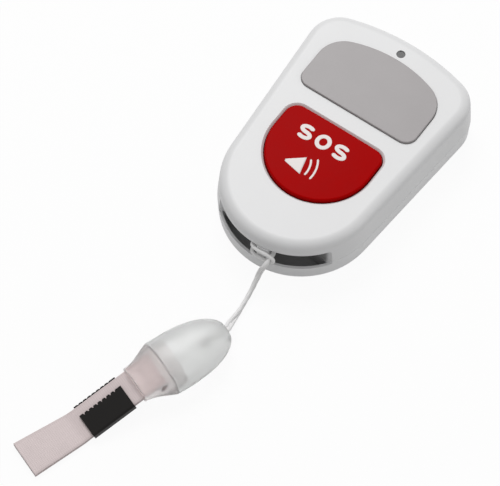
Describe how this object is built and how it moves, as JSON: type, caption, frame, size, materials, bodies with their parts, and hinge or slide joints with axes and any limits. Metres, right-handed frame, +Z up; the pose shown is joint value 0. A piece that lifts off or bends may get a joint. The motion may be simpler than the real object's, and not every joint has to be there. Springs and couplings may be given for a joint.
{
  "type": "panic button",
  "caption": "Wearable alarm pendant with a pressed D-shaped button, a blank plate and a status lamp, on a cord and strap.",
  "frame": {"origin": "middle of the body's bounding box, on the flat back that it rests on; the lanyard is left out", "axes": "+Z up out of the button's face, -Y towards the lanyard end, +X to the right seen from the face"},
  "size_m": [0.0448, 0.1373, 0.0149],
  "materials": {
    "casing": "light grey-white moulded plastic, fine satin",
    "button_red": "deep red, satin gloss",
    "plate_grey": "warm grey satin",
    "smoked_window": "smoked clear plastic",
    "lamp_resin": "tinted clear resin",
    "board_green": "green solder mask",
    "bright_steel": "bright plated steel",
    "black_plastic": "matt black",
    "tinned_wire": "tinned copper wire",
    "ceramic": "fired ceramic",
    "nickel": "nickel plated",
    "cap_milky": "milky translucent plastic, polished",
    "holder_pink": "pale pinkish soft plastic",
    "ribbon": "pinkish white woven ribbon",
    "clamp_black": "black painted metal",
    "cord_white": "thin pale braided cord"
  },
  "bodies": {
    "housing": {"front_cover": "casing", "rear_cover": "casing", "cover_screws": "bright_steel", "face_plate": "plate_grey", "lamp_window": "smoked_window", "status_lamp": "lamp_resin", "circuit_board": "board_green", "board_screws": "bright_steel", "switch_base": "black_plastic", "switch_cover": "bright_steel", "control_chip": "black_plastic", "resonator": "nickel", "loop_antenna": "tinned_wire", "chip_parts": "ceramic", "coin_cell": "nickel", "battery_contact": "nickel", "battery_clip": "bright_steel", "cord_cap": "cap_milky", "strap_holder": "holder_pink", "strap_ribbon": "ribbon", "strap_clamp": "clamp_black", "cord": "cord_white", "cord_knot": "cord_white"},
    "button": {"button_cap": "button_red"},
    "plunger": {"switch_plunger": "black_plastic"}
  },
  "joints": [
    {"name": "button_press", "type": "slide", "parent": "housing", "child": "button", "axis": [0, 0, -1], "range_m": [0, 0.0005], "stiffness_N_per_m": 3000, "springref_m": -0.0002},
    {"name": "plunger_press", "type": "slide", "parent": "housing", "child": "plunger", "axis": [0, 0, -1], "range_m": [0, 0.0005]}
  ],
  "couplings": [
    {"joint": "plunger_press", "follows": "button_press", "ratio": 1}
  ]
}
